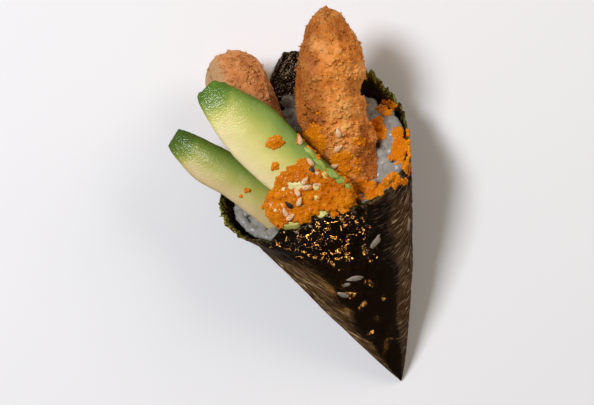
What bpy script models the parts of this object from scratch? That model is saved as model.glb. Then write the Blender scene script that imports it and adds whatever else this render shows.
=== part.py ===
"""A temaki hand roll: a cone of nori filled with rice, two crumbed fried prawns, two avocado slices and fish roe.

It lies on its side, as a roll does when nobody holds it. +Y runs from the tip towards the mouth, +X to the right
seen from above, +Z up. The origin is on the flat strip that the wrap rests on, ORIGIN_REACH from the tip.
Lengths are in metres. "Reach" is the distance along Y from the tip. Angles round the wrap are in degrees:
0 is the right side, 90 the upper side, 180 the left side and 270 the underside.
"""

import math

import bmesh
import bpy
from mathutils import Vector, noise

# The wrap's cone
ORIGIN_REACH = 0.076
MOUTH_REACH = 0.078
MOUTH_HALF_WIDTH = 0.0342
WIDTH_POWER = 0.88
HEIGHT_SHARE = 0.86
FLAT_SHARE = 0.04
SIDE_BOW = 0.001

# The wrap's sheet
WALL = 0.0009
LAYER = 0.00035
SEAM_ANGLE = 143.0
SEAM_TWIST = -28.0
EDGE_TEAR = 0.0007
APEX_REACH = 0.0008
INNER_APEX_REACH = 0.005
WRAP_STEP = 8.0
WRAP_ROWS = 12

# The sheet's mouth edge: (angle round the wrap, reach there). The peak is the sheet's free corner.
WRAP_EDGE = (
    (0, 0.0790),
    (20, 0.0700),
    (38, 0.0652),
    (60, 0.0638),
    (90, 0.0632),
    (115, 0.0648),
    (136, 0.0672),
    (146, 0.0655),
    (158, 0.0684),
    (172, 0.0712),
    (180, 0.0760),
    (190, 0.0790),
    (206, 0.0862),
    (225, 0.0930),
    (245, 0.1035),
    (267, 0.1178),
    (272, 0.1226),
    (277, 0.1254),
    (284, 0.1235),
    (300, 0.1150),
    (314, 0.1065),
    (332, 0.0955),
    (345, 0.0880),
    (360, 0.0790),
)

# Air left between pieces that touch
GAP = 0.0003

# Rice
RICE_COLUMNS = 40
RICE_ROWS = 9
RICE_RINGS = 6
RICE_BACK_STEP = 0.0120
RICE_FRONT_STEP = 0.0035
RICE_EDGE_STEP = 0.0012
RICE_GAP = 0.0006
RICE_BUMP = 0.0011
RICE_BUMP_SIZE = 0.006
RICE_HEART = Vector((0.0, 0.084, 0.0215))

# Prawns: the centreline from the hidden tail end to the blunt end, and the thickness along it
PRAWN_RINGS = 22
PRAWN_SIDES = 20
PRAWN_LUMP = 0.0010
PRAWN_LUMP_SIZE = 0.008
FRONT_PRAWN_LINE = (
    Vector((0.0040, 0.056, 0.0195)),
    Vector((0.0092, 0.073, 0.0235)),
    Vector((0.0125, 0.096, 0.0290)),
    Vector((0.0187, 0.114, 0.0340)),
    Vector((0.0257, 0.1318, 0.0385)),
)
FRONT_PRAWN_RADIUS = 0.0120
FRONT_PRAWN_BLUNT_SHARE = 0.27
BACK_PRAWN_LINE = (
    Vector((-0.0125, 0.060, 0.0130)),
    Vector((-0.0135, 0.076, 0.0145)),
    Vector((-0.0138, 0.094, 0.0165)),
    Vector((-0.0138, 0.112, 0.0190)),
    Vector((-0.0144, 0.1317, 0.0215)),
)
BACK_PRAWN_RADIUS = 0.0109
BACK_PRAWN_BLUNT_SHARE = 0.19
PRAWN_TAIL_SHARE = 0.70
PRAWN_POINT_SHARE = 0.10

# Avocado slices: the pit side and the skin side in plan from the hidden end, and the height of the middle
SLICE_THICKNESS = 0.0082
SLICE_PIT_SHARE = 0.60
SLICE_STEPS = 18
FRONT_SLICE_PIT = ((-0.0040, 0.0575), (-0.0105, 0.0705), (-0.0195, 0.0860), (-0.0258, 0.1020), (-0.0290, 0.1205))
FRONT_SLICE_SKIN = ((0.0100, 0.0600), (0.0070, 0.0760), (0.0005, 0.0920), (-0.0060, 0.1078), (-0.0195, 0.1240))
FRONT_SLICE_HEIGHT = (0.0335, 0.0385, 0.0405, 0.0410, 0.0400)
LEFT_SLICE_PIT = ((-0.0160, 0.0580), (-0.0238, 0.0705), (-0.0320, 0.0845), (-0.0400, 0.0955), (-0.0447, 0.1085))
LEFT_SLICE_SKIN = ((-0.0020, 0.0620), (-0.0090, 0.0770), (-0.0190, 0.0915), (-0.0288, 0.1035), (-0.0378, 0.1135))
LEFT_SLICE_HEIGHT = (0.0265, 0.0315, 0.0325, 0.0315, 0.0290)

# Roe: the drift's outline in plan as (angle, distance from its middle), and its heights
ROE_MIDDLE = Vector((-0.0060, 0.0740))
ROE_OUTLINE = (
    (0, 0.0155),
    (30, 0.0118),
    (62, 0.0108),
    (95, 0.0112),
    (125, 0.0112),
    (160, 0.0148),
    (188, 0.0158),
    (208, 0.0148),
    (240, 0.0088),
    (270, 0.0085),
    (308, 0.0125),
    (325, 0.0160),
    (345, 0.0165),
    (360, 0.0155),
)
ROE_TOP = 0.0452
ROE_FLOOR = 0.0385
ROE_LEFT_FALL = 0.20
ROE_RIGHT_FALL = 0.10
ROE_SPOKES = 36
ROE_RINGS = 6


def srgb(code):
    """A linear colour from an sRGB hex code."""
    parts = [int(code[i : i + 2], 16) / 255 for i in (0, 2, 4)]
    return tuple(c / 12.92 if c <= 0.04045 else ((c + 0.055) / 1.055) ** 2.4 for c in parts)


def food_material(name, code, roughness):
    material = bpy.data.materials.new(name)
    material.use_nodes = True
    shader = material.node_tree.nodes["Principled BSDF"]
    shader.inputs["Base Color"].default_value = (*srgb(code), 1.0)
    shader.inputs["Roughness"].default_value = roughness
    shader.inputs["Metallic"].default_value = 0.0
    return material


def mesh_object(name, points, faces, material):
    """A smooth-shaded object. Points are given from the tip and stored from the part's origin."""
    mesh = bpy.data.meshes.new(name)
    mesh.from_pydata([Vector(p) - Vector((0, ORIGIN_REACH, 0)) for p in points], [], faces)
    shape = bmesh.new()
    shape.from_mesh(mesh)
    bmesh.ops.recalc_face_normals(shape, faces=shape.faces)
    if shape.calc_volume(signed=True) < 0:
        bmesh.ops.reverse_faces(shape, faces=shape.faces)
    shape.to_mesh(mesh)
    shape.free()
    mesh.shade_smooth()
    obj = bpy.data.objects.new(name, mesh)
    bpy.context.scene.collection.objects.link(obj)
    mesh.materials.append(material)
    return obj


def bridge(rings, closed_ends=(None, None)):
    """Faces between successive rings of point numbers, with a fan to a point number at either end."""
    count = len(rings[0])
    faces = [
        (low[j], low[(j + 1) % count], high[(j + 1) % count], high[j])
        for low, high in zip(rings, rings[1:])
        for j in range(count)
    ]
    for ring, apex in zip((rings[0], rings[-1]), closed_ends):
        if apex is not None:
            faces += [(ring[(j + 1) % count], ring[j], apex) for j in range(count)]
    return faces


def eased(t):
    return t * t * (3 - 2 * t)


def edge_reach(angle):
    """Reach of the sheet's mouth edge at an angle round the wrap."""
    angle %= 360
    for (a, low), (b, high) in zip(WRAP_EDGE, WRAP_EDGE[1:]):
        if a <= angle <= b:
            return low + (high - low) * (angle - a) / (b - a)
    return WRAP_EDGE[0][1]


def wrap_point(reach, angle, inset):
    """Point of the cone at that reach and angle, inset below its outer surface and flat underneath."""
    half_width = MOUTH_HALF_WIDTH * (reach / MOUTH_REACH) ** WIDTH_POWER
    half_height = half_width * HEIGHT_SHARE
    turn = math.radians(angle)
    x = SIDE_BOW * math.sin(math.pi * min(1.0, reach / MOUTH_REACH))
    x += max(half_width - inset, 0) * math.cos(turn)
    z = half_height * (1 - FLAT_SHARE) + max(half_height - inset, 0) * math.sin(turn)
    return Vector((x, reach, max(z, inset)))


def axis_point(reach):
    """Middle of the cone at that reach."""
    return (wrap_point(reach, 90, 0) + wrap_point(reach, 270, 0)) / 2


def cut(obj, *cutters):
    """Takes the cutters' shapes out of the object."""
    for cutter in cutters:
        modifier = obj.modifiers.new("cut_" + cutter.name, "BOOLEAN")
        modifier.operation = "DIFFERENCE"
        modifier.object = cutter
    return obj


def hole_for(obj):
    """A hidden cutter one gap bigger than the object all round."""
    mesh = obj.data.copy()
    mesh.materials.clear()
    hole = bpy.data.objects.new(obj.name + "_hole", mesh)
    bpy.context.scene.collection.objects.link(hole)
    hole.hide_render = True
    hole.display_type = "WIRE"
    shape = bmesh.new()
    shape.from_mesh(mesh)
    for vertex in shape.verts:
        vertex.co += vertex.normal * GAP * vertex.calc_shell_factor()
    shape.to_mesh(mesh)
    shape.free()
    return hole


# ---------------------------------------------------------------- nori wrap


def offsets_round(turn):
    """Angles on from the seam: every corner of the mouth edge, and steps between them."""
    corners = sorted({(SEAM_ANGLE - angle) % 360 for angle, _ in WRAP_EDGE} | {0.0, turn})
    offsets = []
    for low, high in zip(corners, corners[1:]):
        steps = max(1, round((high - low) / WRAP_STEP))
        offsets += [low + (high - low) * k / steps for k in range(steps)]
    return [offset for offset in offsets if offset < turn] + [turn]


def make_wrap():
    """One spiral turn of seaweed sheet. The outer surface drops by one layer at the seam."""
    points, outer_rings, inner_rings = [], [], []
    turn = 359.0
    spread = offsets_round(turn)

    def ring(share, start, inner):
        numbers = []
        for offset in spread:
            at_edge = SEAM_ANGLE - offset
            torn = EDGE_TEAR * noise.noise(Vector((offset * 0.11, 3.7, 0)))
            reach = start + share * (edge_reach(at_edge) + torn - start)
            angle = at_edge + SEAM_TWIST * (1 - share)
            depth = LAYER * offset / turn
            point = wrap_point(reach, angle, depth + WALL - LAYER if inner else depth)
            if not inner and point.z < depth + 1e-7:
                point.z = 0.0
            numbers.append(len(points))
            points.append(point)
        return numbers

    for i in range(WRAP_ROWS + 1):
        share = (i / WRAP_ROWS) ** 1.15
        outer_rings.append(ring(share, APEX_REACH, False))
    for i in range(WRAP_ROWS + 1):
        share = (i / WRAP_ROWS) ** 1.1
        inner_rings.append(ring(share, INNER_APEX_REACH, True))
    tip, hollow_tip = len(points), len(points) + 1
    points.append(Vector((0, 0, APEX_REACH * 0.5)))
    points.append(axis_point(INNER_APEX_REACH - 0.0012))
    faces = bridge(outer_rings + inner_rings[::-1], (tip, hollow_tip))
    return mesh_object("nori_wrap", points, faces, food_material("nori", "1A120C", 0.45))


# --------------------------------------------------------------------- rice


def make_rice(*fillings):
    """Everything inside the wrap that the fillings leave, up to an uneven slope across the mouth."""
    inset = WALL + RICE_GAP
    points, rings = [], []
    angles = [360.0 * j / RICE_COLUMNS for j in range(RICE_COLUMNS)]
    start = INNER_APEX_REACH + 0.002

    def rice_edge(angle):
        height = math.sin(math.radians(angle))
        step = RICE_FRONT_STEP * max(0.0, height) ** 4 + RICE_BACK_STEP * max(0.0, -height) ** 1.5
        return edge_reach(angle) - RICE_EDGE_STEP - step

    for i in range(RICE_ROWS + 1):
        share = i / RICE_ROWS
        rings.append(list(range(len(points), len(points) + RICE_COLUMNS)))
        points += [wrap_point(start + share * (rice_edge(a) - start), a, inset) for a in angles]
    rim = points[-RICE_COLUMNS:]
    for k in range(1, RICE_RINGS):
        share = 1 - k / RICE_RINGS
        rings.append(list(range(len(points), len(points) + RICE_COLUMNS)))
        for p in rim:
            q = RICE_HEART + (p - RICE_HEART) * share
            q.y += RICE_BUMP * noise.noise(q / RICE_BUMP_SIZE) * 2
            q.z = max(q.z + RICE_BUMP * noise.noise(q / RICE_BUMP_SIZE + Vector((9, 0, 0))), inset)
            points.append(q)
    tip, heart = len(points), len(points) + 1
    points += [axis_point(start - 0.0012), RICE_HEART]
    rice = mesh_object("rice", points, bridge(rings, (tip, heart)), food_material("rice", "C9C6BC", 0.35))
    return cut(rice, *fillings)


# ------------------------------------------------------------------- prawns


def along(line, t):
    """Point at share t of a smooth curve through the line's points (Catmull-Rom)."""
    spans = len(line) - 1
    i = min(int(t * spans), spans - 1)
    u = t * spans - i
    p0, p1, p2, p3 = (line[max(0, min(spans, i + k))] for k in (-1, 0, 1, 2))
    return 0.5 * (
        2 * p1 + (p2 - p0) * u + (2 * p0 - 5 * p1 + 4 * p2 - p3) * u**2 + (3 * p1 - p0 - 3 * p2 + p3) * u**3
    )


def prawn_radius(t, radius, blunt_share):
    """Thick at the blunt end, thinner towards the tail end, and rounded at both."""
    body = radius * (PRAWN_TAIL_SHARE + (1 - PRAWN_TAIL_SHARE) * eased(min(1, t / 0.45)))
    blunt = min(1.0, (1 - t) / blunt_share)
    tail = min(1.0, t / PRAWN_POINT_SHARE)
    return body * math.sqrt(1 - (1 - blunt) ** 2) * math.sqrt(1 - (1 - tail) ** 2)


def make_prawn(name, line, radius, blunt_share, material):
    """A butterflied prawn in a thick crust of breadcrumbs, as a lumpy tapered body along its centreline."""
    points, rings = [], []
    shares = [0.5 - 0.5 * math.cos(math.pi * i / (PRAWN_RINGS + 1)) for i in range(1, PRAWN_RINGS + 1)]
    for t in shares:
        centre = along(line, t)
        forward = (along(line, min(1, t + 0.01)) - along(line, max(0, t - 0.01))).normalized()
        side = forward.cross(Vector((0, 0, 1))).normalized()
        up = side.cross(forward)
        rings.append(list(range(len(points), len(points) + PRAWN_SIDES)))
        for j in range(PRAWN_SIDES):
            turn = 2 * math.pi * j / PRAWN_SIDES
            out = side * math.cos(turn) + up * math.sin(turn)
            at = centre + out * prawn_radius(t, radius, blunt_share)
            points.append(at + out * PRAWN_LUMP * noise.noise(at / PRAWN_LUMP_SIZE))
    tail, blunt = len(points), len(points) + 1
    points += [along(line, 0), along(line, 1)]
    return mesh_object(name, points, bridge(rings, (tail, blunt)), material)


# ------------------------------------------------------------ avocado slices


def slice_profile():
    """Cross-section from the pit side (0) to the skin side (1): thin, then full, then rounded off, both faces."""
    upper = []
    for v in (0.0, 0.02, 0.30, 0.55, 0.72, 0.85, 0.94, 0.985):
        thick = SLICE_PIT_SHARE + (1 - SLICE_PIT_SHARE) * eased(min(1, v / 0.55))
        shoulder = math.sqrt(1 - max(0, (v - 0.55) / 0.45) ** 2)
        upper.append((v, thick * shoulder * (0.72 if v == 0 else 1)))
    return upper + [(1.0, 0.0)] + [(v, -w) for v, w in upper[::-1]]


def make_slice(name, pit_side, skin_side, heights, material):
    """A lengthwise slice of peeled avocado between its pit side and its skin side."""
    pit = [Vector((x, y, 0)) for x, y in pit_side]
    skin = [Vector((x, y, 0)) for x, y in skin_side]
    middle = [Vector((0, 0, z)) for z in heights]
    profile = slice_profile()
    points, rings = [], []
    for i in range(SLICE_STEPS + 1):
        u = i / SLICE_STEPS
        low, high, height = along(pit, u), along(skin, u), along(middle, u).z
        end = min(1.0, (1 - u) / 0.14, u / 0.08 + 0.6)
        narrow = 0.80 + 0.20 * math.sqrt(1 - (1 - end) ** 2)
        thin = 0.50 + 0.50 * math.sqrt(1 - (1 - end) ** 2)
        rings.append(list(range(len(points), len(points) + len(profile))))
        for v, w in profile:
            at = low.lerp(high, 0.5 + (v - 0.5) * narrow)
            points.append((at.x, at.y, height + w * SLICE_THICKNESS / 2 * thin))
    faces = bridge(rings) + [tuple(rings[0]), tuple(rings[-1][::-1])]
    return mesh_object(name, points, faces, material)


# ---------------------------------------------------------------------- roe


def roe_radius(angle):
    for (a, near), (b, far) in zip(ROE_OUTLINE, ROE_OUTLINE[1:]):
        if a <= angle <= b:
            return near + (far - near) * (angle - a) / (b - a)
    return ROE_OUTLINE[0][1]


def make_roe():
    """The drift of fish roe at the front of the mouth, lying on the slices' lower ends and the front prawn."""
    points, rings = [], []
    for top in (True, False):
        for k in range(1, ROE_RINGS + 1) if top else range(ROE_RINGS, 0, -1):
            share = k / ROE_RINGS
            rings.append(list(range(len(points), len(points) + ROE_SPOKES)))
            for j in range(ROE_SPOKES):
                angle = 360 * j / ROE_SPOKES
                reach = roe_radius(angle) * share
                x, y = reach * math.cos(math.radians(angle)), reach * math.sin(math.radians(angle))
                level = ROE_TOP + 0.0005 * noise.noise(Vector((x, y, 0)) / 0.004) - 0.0018 * share**4
                fall = ROE_LEFT_FALL * max(0, -x) + ROE_RIGHT_FALL * max(0, x)
                z = level - fall if top else ROE_FLOOR - fall
                points.append((ROE_MIDDLE.x + x, ROE_MIDDLE.y + y, z))
    crest, foot = len(points), len(points) + 1
    points.append((ROE_MIDDLE.x, ROE_MIDDLE.y, ROE_TOP))
    points.append((ROE_MIDDLE.x, ROE_MIDDLE.y, ROE_FLOOR))
    return mesh_object("roe", points, bridge(rings, (crest, foot)), food_material("roe", "DB6E06", 0.3))


# ----------------------------------------------------------------- assembly


def clear_scene():
    for obj in list(bpy.data.objects):
        bpy.data.objects.remove(obj)


def main():
    clear_scene()
    crust = food_material("fried_crumb", "C07C35", 0.7)
    flesh = food_material("avocado", "B9BE62", 0.45)

    make_wrap()
    prawn_front = make_prawn(
        "prawn_front", FRONT_PRAWN_LINE, FRONT_PRAWN_RADIUS, FRONT_PRAWN_BLUNT_SHARE, crust
    )
    prawn_back = make_prawn("prawn_back", BACK_PRAWN_LINE, BACK_PRAWN_RADIUS, BACK_PRAWN_BLUNT_SHARE, crust)
    front = make_slice("avocado_front", FRONT_SLICE_PIT, FRONT_SLICE_SKIN, FRONT_SLICE_HEIGHT, flesh)
    left = make_slice("avocado_left", LEFT_SLICE_PIT, LEFT_SLICE_SKIN, LEFT_SLICE_HEIGHT, flesh)

    prawn_holes = [hole_for(prawn_front), hole_for(prawn_back)]
    slice_holes = [hole_for(front), hole_for(left)]
    cut(front, *prawn_holes)
    cut(left, *prawn_holes, slice_holes[0])
    roe = make_roe()
    make_rice(*prawn_holes, *slice_holes, hole_for(roe))
    cut(roe, *prawn_holes, *slice_holes)


main()
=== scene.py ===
"""A temaki hand roll lying on its side: nori, rice, crumbed fried prawns, avocado, fish roe and sesame.

+Y runs from the cone's tip towards its mouth, +X to the right seen from above, +Z up. Lengths are in metres.
"""

import math
import random

import bmesh
import bpy
from mathutils import Matrix, Vector, noise
from mathutils.bvhtree import BVHTree


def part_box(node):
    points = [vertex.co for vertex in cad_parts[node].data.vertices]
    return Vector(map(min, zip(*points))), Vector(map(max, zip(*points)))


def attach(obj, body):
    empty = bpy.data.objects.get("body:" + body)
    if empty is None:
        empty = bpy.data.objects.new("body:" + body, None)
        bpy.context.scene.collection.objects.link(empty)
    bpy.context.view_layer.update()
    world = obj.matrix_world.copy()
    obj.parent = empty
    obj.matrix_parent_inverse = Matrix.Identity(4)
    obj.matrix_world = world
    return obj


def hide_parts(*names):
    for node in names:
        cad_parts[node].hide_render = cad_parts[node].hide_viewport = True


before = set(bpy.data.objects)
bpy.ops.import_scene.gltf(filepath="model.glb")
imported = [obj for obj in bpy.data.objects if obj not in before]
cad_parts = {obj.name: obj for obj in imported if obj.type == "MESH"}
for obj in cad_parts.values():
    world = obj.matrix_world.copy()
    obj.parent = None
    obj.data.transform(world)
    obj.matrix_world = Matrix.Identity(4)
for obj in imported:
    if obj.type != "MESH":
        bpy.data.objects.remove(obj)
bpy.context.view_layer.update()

# ------------------------------------------------------------------------------------------- the nori wrap
# Half a sheet of nori: seaweed pressed and dried like paper, then roasted until it is nearly black. It is rolled
# into a cone round the fillings. Steam from the rice has softened it, so it is glossy and crinkles over the
# grains, and its torn edge is thin enough to show green.

MM = 0.001
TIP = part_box("nori_wrap")[0].y
CONE_REACH = 78 * MM
CONE_HALF_WIDTH = 34.2 * MM
CONE_FLARE = 0.88
CONE_SAG = 0.86
CONE_FLAT = 0.04
CONE_BOW = 1.0 * MM
SHEET_THICKNESS = 0.55 * MM
LAYER_STEP = 0.45 * MM
SEAM_ANGLE = 143.0
SEAM_TWIST = -28.0
LIP_CURL = 2.0 * MM
LIP_WIDTH = 4.0 * MM
SHEET_COLUMNS = 440
SHEET_ROWS = 138
LINING_ROWS = 84

# Angles run round the cone from 0 at its right side, over the top at 90, to its left side at 180. The reach is
# the distance from the tip to the sheet's edge there. The peak at 277 is the sheet's free corner.
SHEET_EDGE = (
    (0, 79.0), (20, 70.4), (38, 66.2), (60, 65.0), (77, 65.0), (90, 66.0), (115, 65.2), (136, 67.2), (146, 65.5),
    (158, 68.4), (172, 71.2), (180, 76.0), (190, 79.0), (206, 86.2), (225, 93.0), (245, 103.5), (267, 117.8),
    (272, 122.6), (277, 125.4), (284, 123.5), (300, 115.0), (314, 106.5), (332, 95.5), (345, 88.0), (360, 79.0),
)


def linear(code, alpha=1.0):
    """A linear colour from an sRGB hex code."""
    parts = [int(code[i : i + 2], 16) / 255 for i in (1, 3, 5)]
    return (*(c / 12.92 if c <= 0.04045 else ((c + 0.055) / 1.055) ** 2.4 for c in parts), alpha)


def new_material(name, colour, **finish):
    """A Principled material. Finish names are the shader's sockets with _ for a space."""
    material = bpy.data.materials.new(name)
    material.use_nodes = True
    shader = material.node_tree.nodes["Principled BSDF"]
    shader.inputs["Base Color"].default_value = linear(colour)
    for name, value in finish.items():
        shader.inputs[name.replace("_", " ")].default_value = value
    return material


def add_node(material, kind, inputs=(), stops=(), **settings):
    """Adds a shader node. Inputs are (socket, value or output to link); stops are a ramp's (place, hex colour)."""
    node = material.node_tree.nodes.new(kind)
    for name, value in settings.items():
        setattr(node, name, value)
    for socket, value in inputs:
        if isinstance(value, bpy.types.NodeSocket):
            material.node_tree.links.new(value, node.inputs[socket])
        else:
            node.inputs[socket].default_value = value
    for i, (place, code) in enumerate(stops):
        point = node.color_ramp.elements[i] if i < 2 else node.color_ramp.elements.new(place)
        point.position = place
        point.color = linear(code)
    return node


def finish_shader(material, **outputs):
    """Links node outputs to the material's Principled sockets, named with _ for a space."""
    shader = material.node_tree.nodes["Principled BSDF"]
    for name, output in outputs.items():
        material.node_tree.links.new(output, shader.inputs[name.replace("_", " ")])


def new_piece(name, points, faces, material, slot, replaced=(), smooth=True, **fields):
    """A piece of the roll as a mesh object that rides on its body. Fields are one number for each point."""
    mesh = bpy.data.meshes.new(name)
    mesh.from_pydata(points, [], faces)
    mesh.validate()
    for field, values in fields.items():
        mesh.attributes.new(field, "FLOAT", "POINT").data.foreach_set("value", values)
    if smooth:
        mesh.shade_smooth()
    mesh.materials.append(material)
    piece = bpy.data.objects.new(name, mesh)
    bpy.context.scene.collection.objects.link(piece)
    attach(piece, "root")
    for node in replaced:
        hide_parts(node)
    return piece


def eased(t):
    t = min(1.0, max(0.0, t))
    return t * t * (3 - 2 * t)


def bump_between(value, start, end, fade):
    """1 between start and end, easing to 0 over the fade outside them."""
    return eased((value - start + fade) / fade) * eased((end + fade - value) / fade)


def rough(point, size, seed=0.0):
    """Smooth noise from -1 to 1 whose lumps are about that size."""
    return noise.noise(Vector(point) / size + Vector((seed, seed * 1.7, seed * 0.3)))


def cone_section(reach):
    """Half the cone's width, half its height and the height of its middle, at that reach from the tip."""
    half_width = CONE_HALF_WIDTH * (reach / CONE_REACH) ** CONE_FLARE
    half_height = half_width * CONE_SAG
    return half_width, half_height, half_height * (1 - CONE_FLAT)


def cone_point(reach, angle, depth=0.0):
    half_width, half_height, middle = cone_section(reach)
    turn = math.radians(angle)
    bow = CONE_BOW * math.sin(math.pi * min(1.0, reach / CONE_REACH))
    x = bow + (half_width - depth) * math.cos(turn)
    z = middle + (half_height - depth) * math.sin(turn)
    return Vector((x, TIP + reach, max(z, depth)))


def edge_reach(angle):
    """Reach of the sheet's torn edge at an angle, before its small tears."""
    angle %= 360
    for (a, low), (b, high) in zip(SHEET_EDGE, SHEET_EDGE[1:]):
        if a <= angle <= b:
            return (low + (high - low) * (angle - a) / (b - a)) * MM
    return SHEET_EDGE[0][1] * MM


def tear(angle, reach):
    """Small tears along the edge. They are deepest where the sheet stands free at either side of the mouth."""
    free = max(bump_between(angle % 360, 176, 250, 10), bump_between(angle % 360, 300, 348, 10))
    along = math.radians(angle % 360) * cone_section(reach)[0]
    coarse = rough((along, 0, 0), 2.6 * MM, 3.1)
    fine = rough((along, 0, 0), 1.1 * MM, 7.4)
    tooth = 1.8 * MM * bump_between(angle % 360, 104, 106, 3)
    return (0.4 + 2.2 * free) * (0.8 * MM * coarse + 1.0 * MM * fine) + tooth


def damp(point, angle, reach):
    """1 where steam has softened the sheet over the rice: a patchy band below the mouth, and specks lower down."""
    over = bump_between(angle, 72, 116 + 34 * eased((reach / MM - 52) / 8), 12)
    band = eased((reach / MM - 45 + 0.5 * point.x / MM) / 6) * eased(0.85 + 2.4 * rough(point, 6 * MM, 6.0))
    specks = 0.8 * eased((rough(point, 4.5 * MM, 3.0) - 0.26) / 0.16)
    return over * max(band, specks)


def dryness(angle, reach):
    """1 down the sides and underneath, where the sheet's fibres show, and 0 along the top, where it is moist. On the
    sides the colour also lightens the fibre lines, partly as painted sheen.
    """
    left = 118 + 26 * eased((reach / MM - 52) / 8)
    return max(eased((angle % 360 - left - 2) / 40), eased((66 - angle % 360) / 44))


def crinkle(point, along, across, angle, reach):
    """How far the damp sheet stands off the plain cone, from several sizes of crease."""
    size = min(1.0, reach / (30 * MM))
    wet = damp(point, angle, reach)
    grains = 0.42 - noise.voronoi(point / (4.4 * MM))[0][0]
    folds = 1 - 2.4 * abs(noise.noise(Vector((along / (11 * MM), across / (2.4 * MM), 4.0))))
    small_folds = 1 - 2.4 * abs(noise.noise(Vector((along / (5 * MM), across / (1.3 * MM), 8.0))))
    pleats = 1 - 2.4 * abs(noise.noise(Vector((along / (2.2 * MM), reach / (10 * MM), 6.0))))
    standing = bump_between(angle, 236, 330, 12) * eased((reach / MM - 84) / 10)
    foil = 0.6 * rough(point, 2.8 * MM, 9.0) + 0.42 * rough(point, 1.35 * MM, 1.0)
    swell = rough(point, 17 * MM, 2.0)
    stiff = 0.15 + dryness(angle, reach) * (0.85 if angle > 90 else 0.3)
    creases = stiff * (0.26 * folds + 0.12 * small_folds)
    creases += 0.5 * standing * (pleats + 0.9 * rough(point, 1.8 * MM, 2.0))
    return size * MM * (0.6 * swell + (1 - 0.4 * wet) * creases + (0.2 + 0.6 * wet) * grains + 1.0 * wet * foil)


def roll_sheet():
    """The sheet as a closed skin: outer face from the tip to the torn edge, inner face back down inside."""
    points, rings = [], []
    fields = {name: [] for name in ("along", "across", "torn", "wet", "dry_and_sheen")}
    turn = 359.2

    def lay(row_share, start, lining):
        ring = []
        for j in range(SHEET_COLUMNS):
            offset = turn * j / (SHEET_COLUMNS - 1)
            at_edge = SEAM_ANGLE - offset
            edge = edge_reach(at_edge)
            edge += tear(at_edge, edge)
            reach = start + row_share * (edge - start)
            wander = 2.5 * rough((0, reach, 0), 9 * MM, 5.0)
            angle = (at_edge + (SEAM_TWIST + wander) * (1 - row_share)) % 360
            curl = max(0.0, 1 - (edge - reach) / LIP_WIDTH) ** 2 * bump_between(angle, 30, 150, 20)
            depth = LAYER_STEP * (offset / turn) + (SHEET_THICKNESS if lining else 0) + LIP_CURL * curl
            flap = eased(1 - offset / 9.0) * 0.35 * MM
            point = cone_point(reach, angle, depth)
            half_width, half_height, middle = cone_section(reach)
            round_turn = math.radians((angle - 64 + 180) % 360 - 180)
            along = half_width * round_turn
            across = reach * 1.25 * (1 - 0.19 * round_turn**2)
            outward = Vector((point.x, -0.42 * half_width, point.z - middle)).normalized()
            splay = 2.2 * MM * bump_between(at_edge % 360, 150, 196, 14) * eased(1 - (edge - reach) / (9 * MM))
            ruffle = 2.0 * MM * rough((0, reach, math.radians(at_edge) * half_width), 1.5 * MM, 2.2)
            ruffle *= bump_between(at_edge % 360, 166, 262, 10) * eased(1 - (edge - reach) / (3 * MM))
            lift = crinkle(point, along, across, angle, reach) + flap + splay + ruffle
            point += outward * lift
            point.z = max(point.z, SHEET_THICKNESS if lining else 0.0)
            ring.append(len(points))
            points.append(point)
            fields["along"].append(along)
            fields["across"].append(across)
            free = max(bump_between(at_edge % 360, 172, 262, 8), bump_between(at_edge % 360, 300, 362, 8))
            fields["torn"].append((0.1 + 0.9 * free) * eased(1 - (edge - reach) / ((1.2 + 2.4 * free) * MM)))
            shine = bump_between(angle, 236, 330, 12) if lining else 0.0
            fields["wet"].append(max(shine, damp(cone_point(reach, angle, depth), angle, reach)))
            fields["dry_and_sheen"].append(0.0 if lining else dryness(angle + 11 * rough(point, 7 * MM, 4.0), reach))
        rings.append(ring)

    for i in range(SHEET_ROWS + 1):
        lay((i / SHEET_ROWS) ** 0.9, 0.9 * MM, False)
    for i in range(LINING_ROWS, -1, -1):
        lay(0.35 + 0.65 * (i / LINING_ROWS) ** 0.8, 0.9 * MM, True)
    faces = [
        (low[j], low[(j + 1) % SHEET_COLUMNS], high[(j + 1) % SHEET_COLUMNS], high[j])
        for low, high in zip(rings, rings[1:])
        for j in range(SHEET_COLUMNS)
    ]
    for ring, reach in ((rings[0], 0.2 * MM), (rings[-1], 20 * MM)):
        middle = (cone_point(reach, 90) + cone_point(reach, 270)) / 2
        faces += [(ring[(j + 1) % SHEET_COLUMNS], ring[j], len(points)) for j in range(SHEET_COLUMNS)]
        points.append(middle)
        for values in fields.values():
            values.append(0.0)
    return points, faces, fields


# Roasted nori: near black with a brown cast, fibrous, and half glossy where it is damp. The sheen at a glancing
# angle comes from its fine fibres. The light fibre lines down the sides are partly the nori's own fibres and partly
# that glancing sheen painted into the colour. Real fibres are about 0.1 mm; they are drawn three times coarser to
# show.
nori = new_material("roasted_nori", "#0d0805", Roughness=0.25, Specular_IOR_Level=0.3, Sheen_Weight=0.02, Coat_Roughness=0.1)
nori.node_tree.nodes["Principled BSDF"].inputs["Specular Tint"].default_value = linear("#ffd09c")
nori.node_tree.nodes["Principled BSDF"].inputs["Sheen Tint"].default_value = linear("#a07c5c")
nori.node_tree.nodes["Principled BSDF"].inputs["Sheen Roughness"].default_value = 0.35
along = add_node(nori, "ShaderNodeAttribute", attribute_name="along")
across = add_node(nori, "ShaderNodeAttribute", attribute_name="across")
torn = add_node(nori, "ShaderNodeAttribute", attribute_name="torn")
wet = add_node(nori, "ShaderNodeAttribute", attribute_name="wet")
dry_and_sheen = add_node(nori, "ShaderNodeAttribute", attribute_name="dry_and_sheen")
on_sheet = add_node(nori, "ShaderNodeCombineXYZ", [("X", along.outputs["Fac"]), ("Y", across.outputs["Fac"])])
place = add_node(nori, "ShaderNodeTexCoord")
fibre_place = add_node(
    nori, "ShaderNodeMapping", [("Vector", on_sheet.outputs[0]), ("Scale", (1 / 0.0065, 1 / 0.0006, 1))]
)
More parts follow.
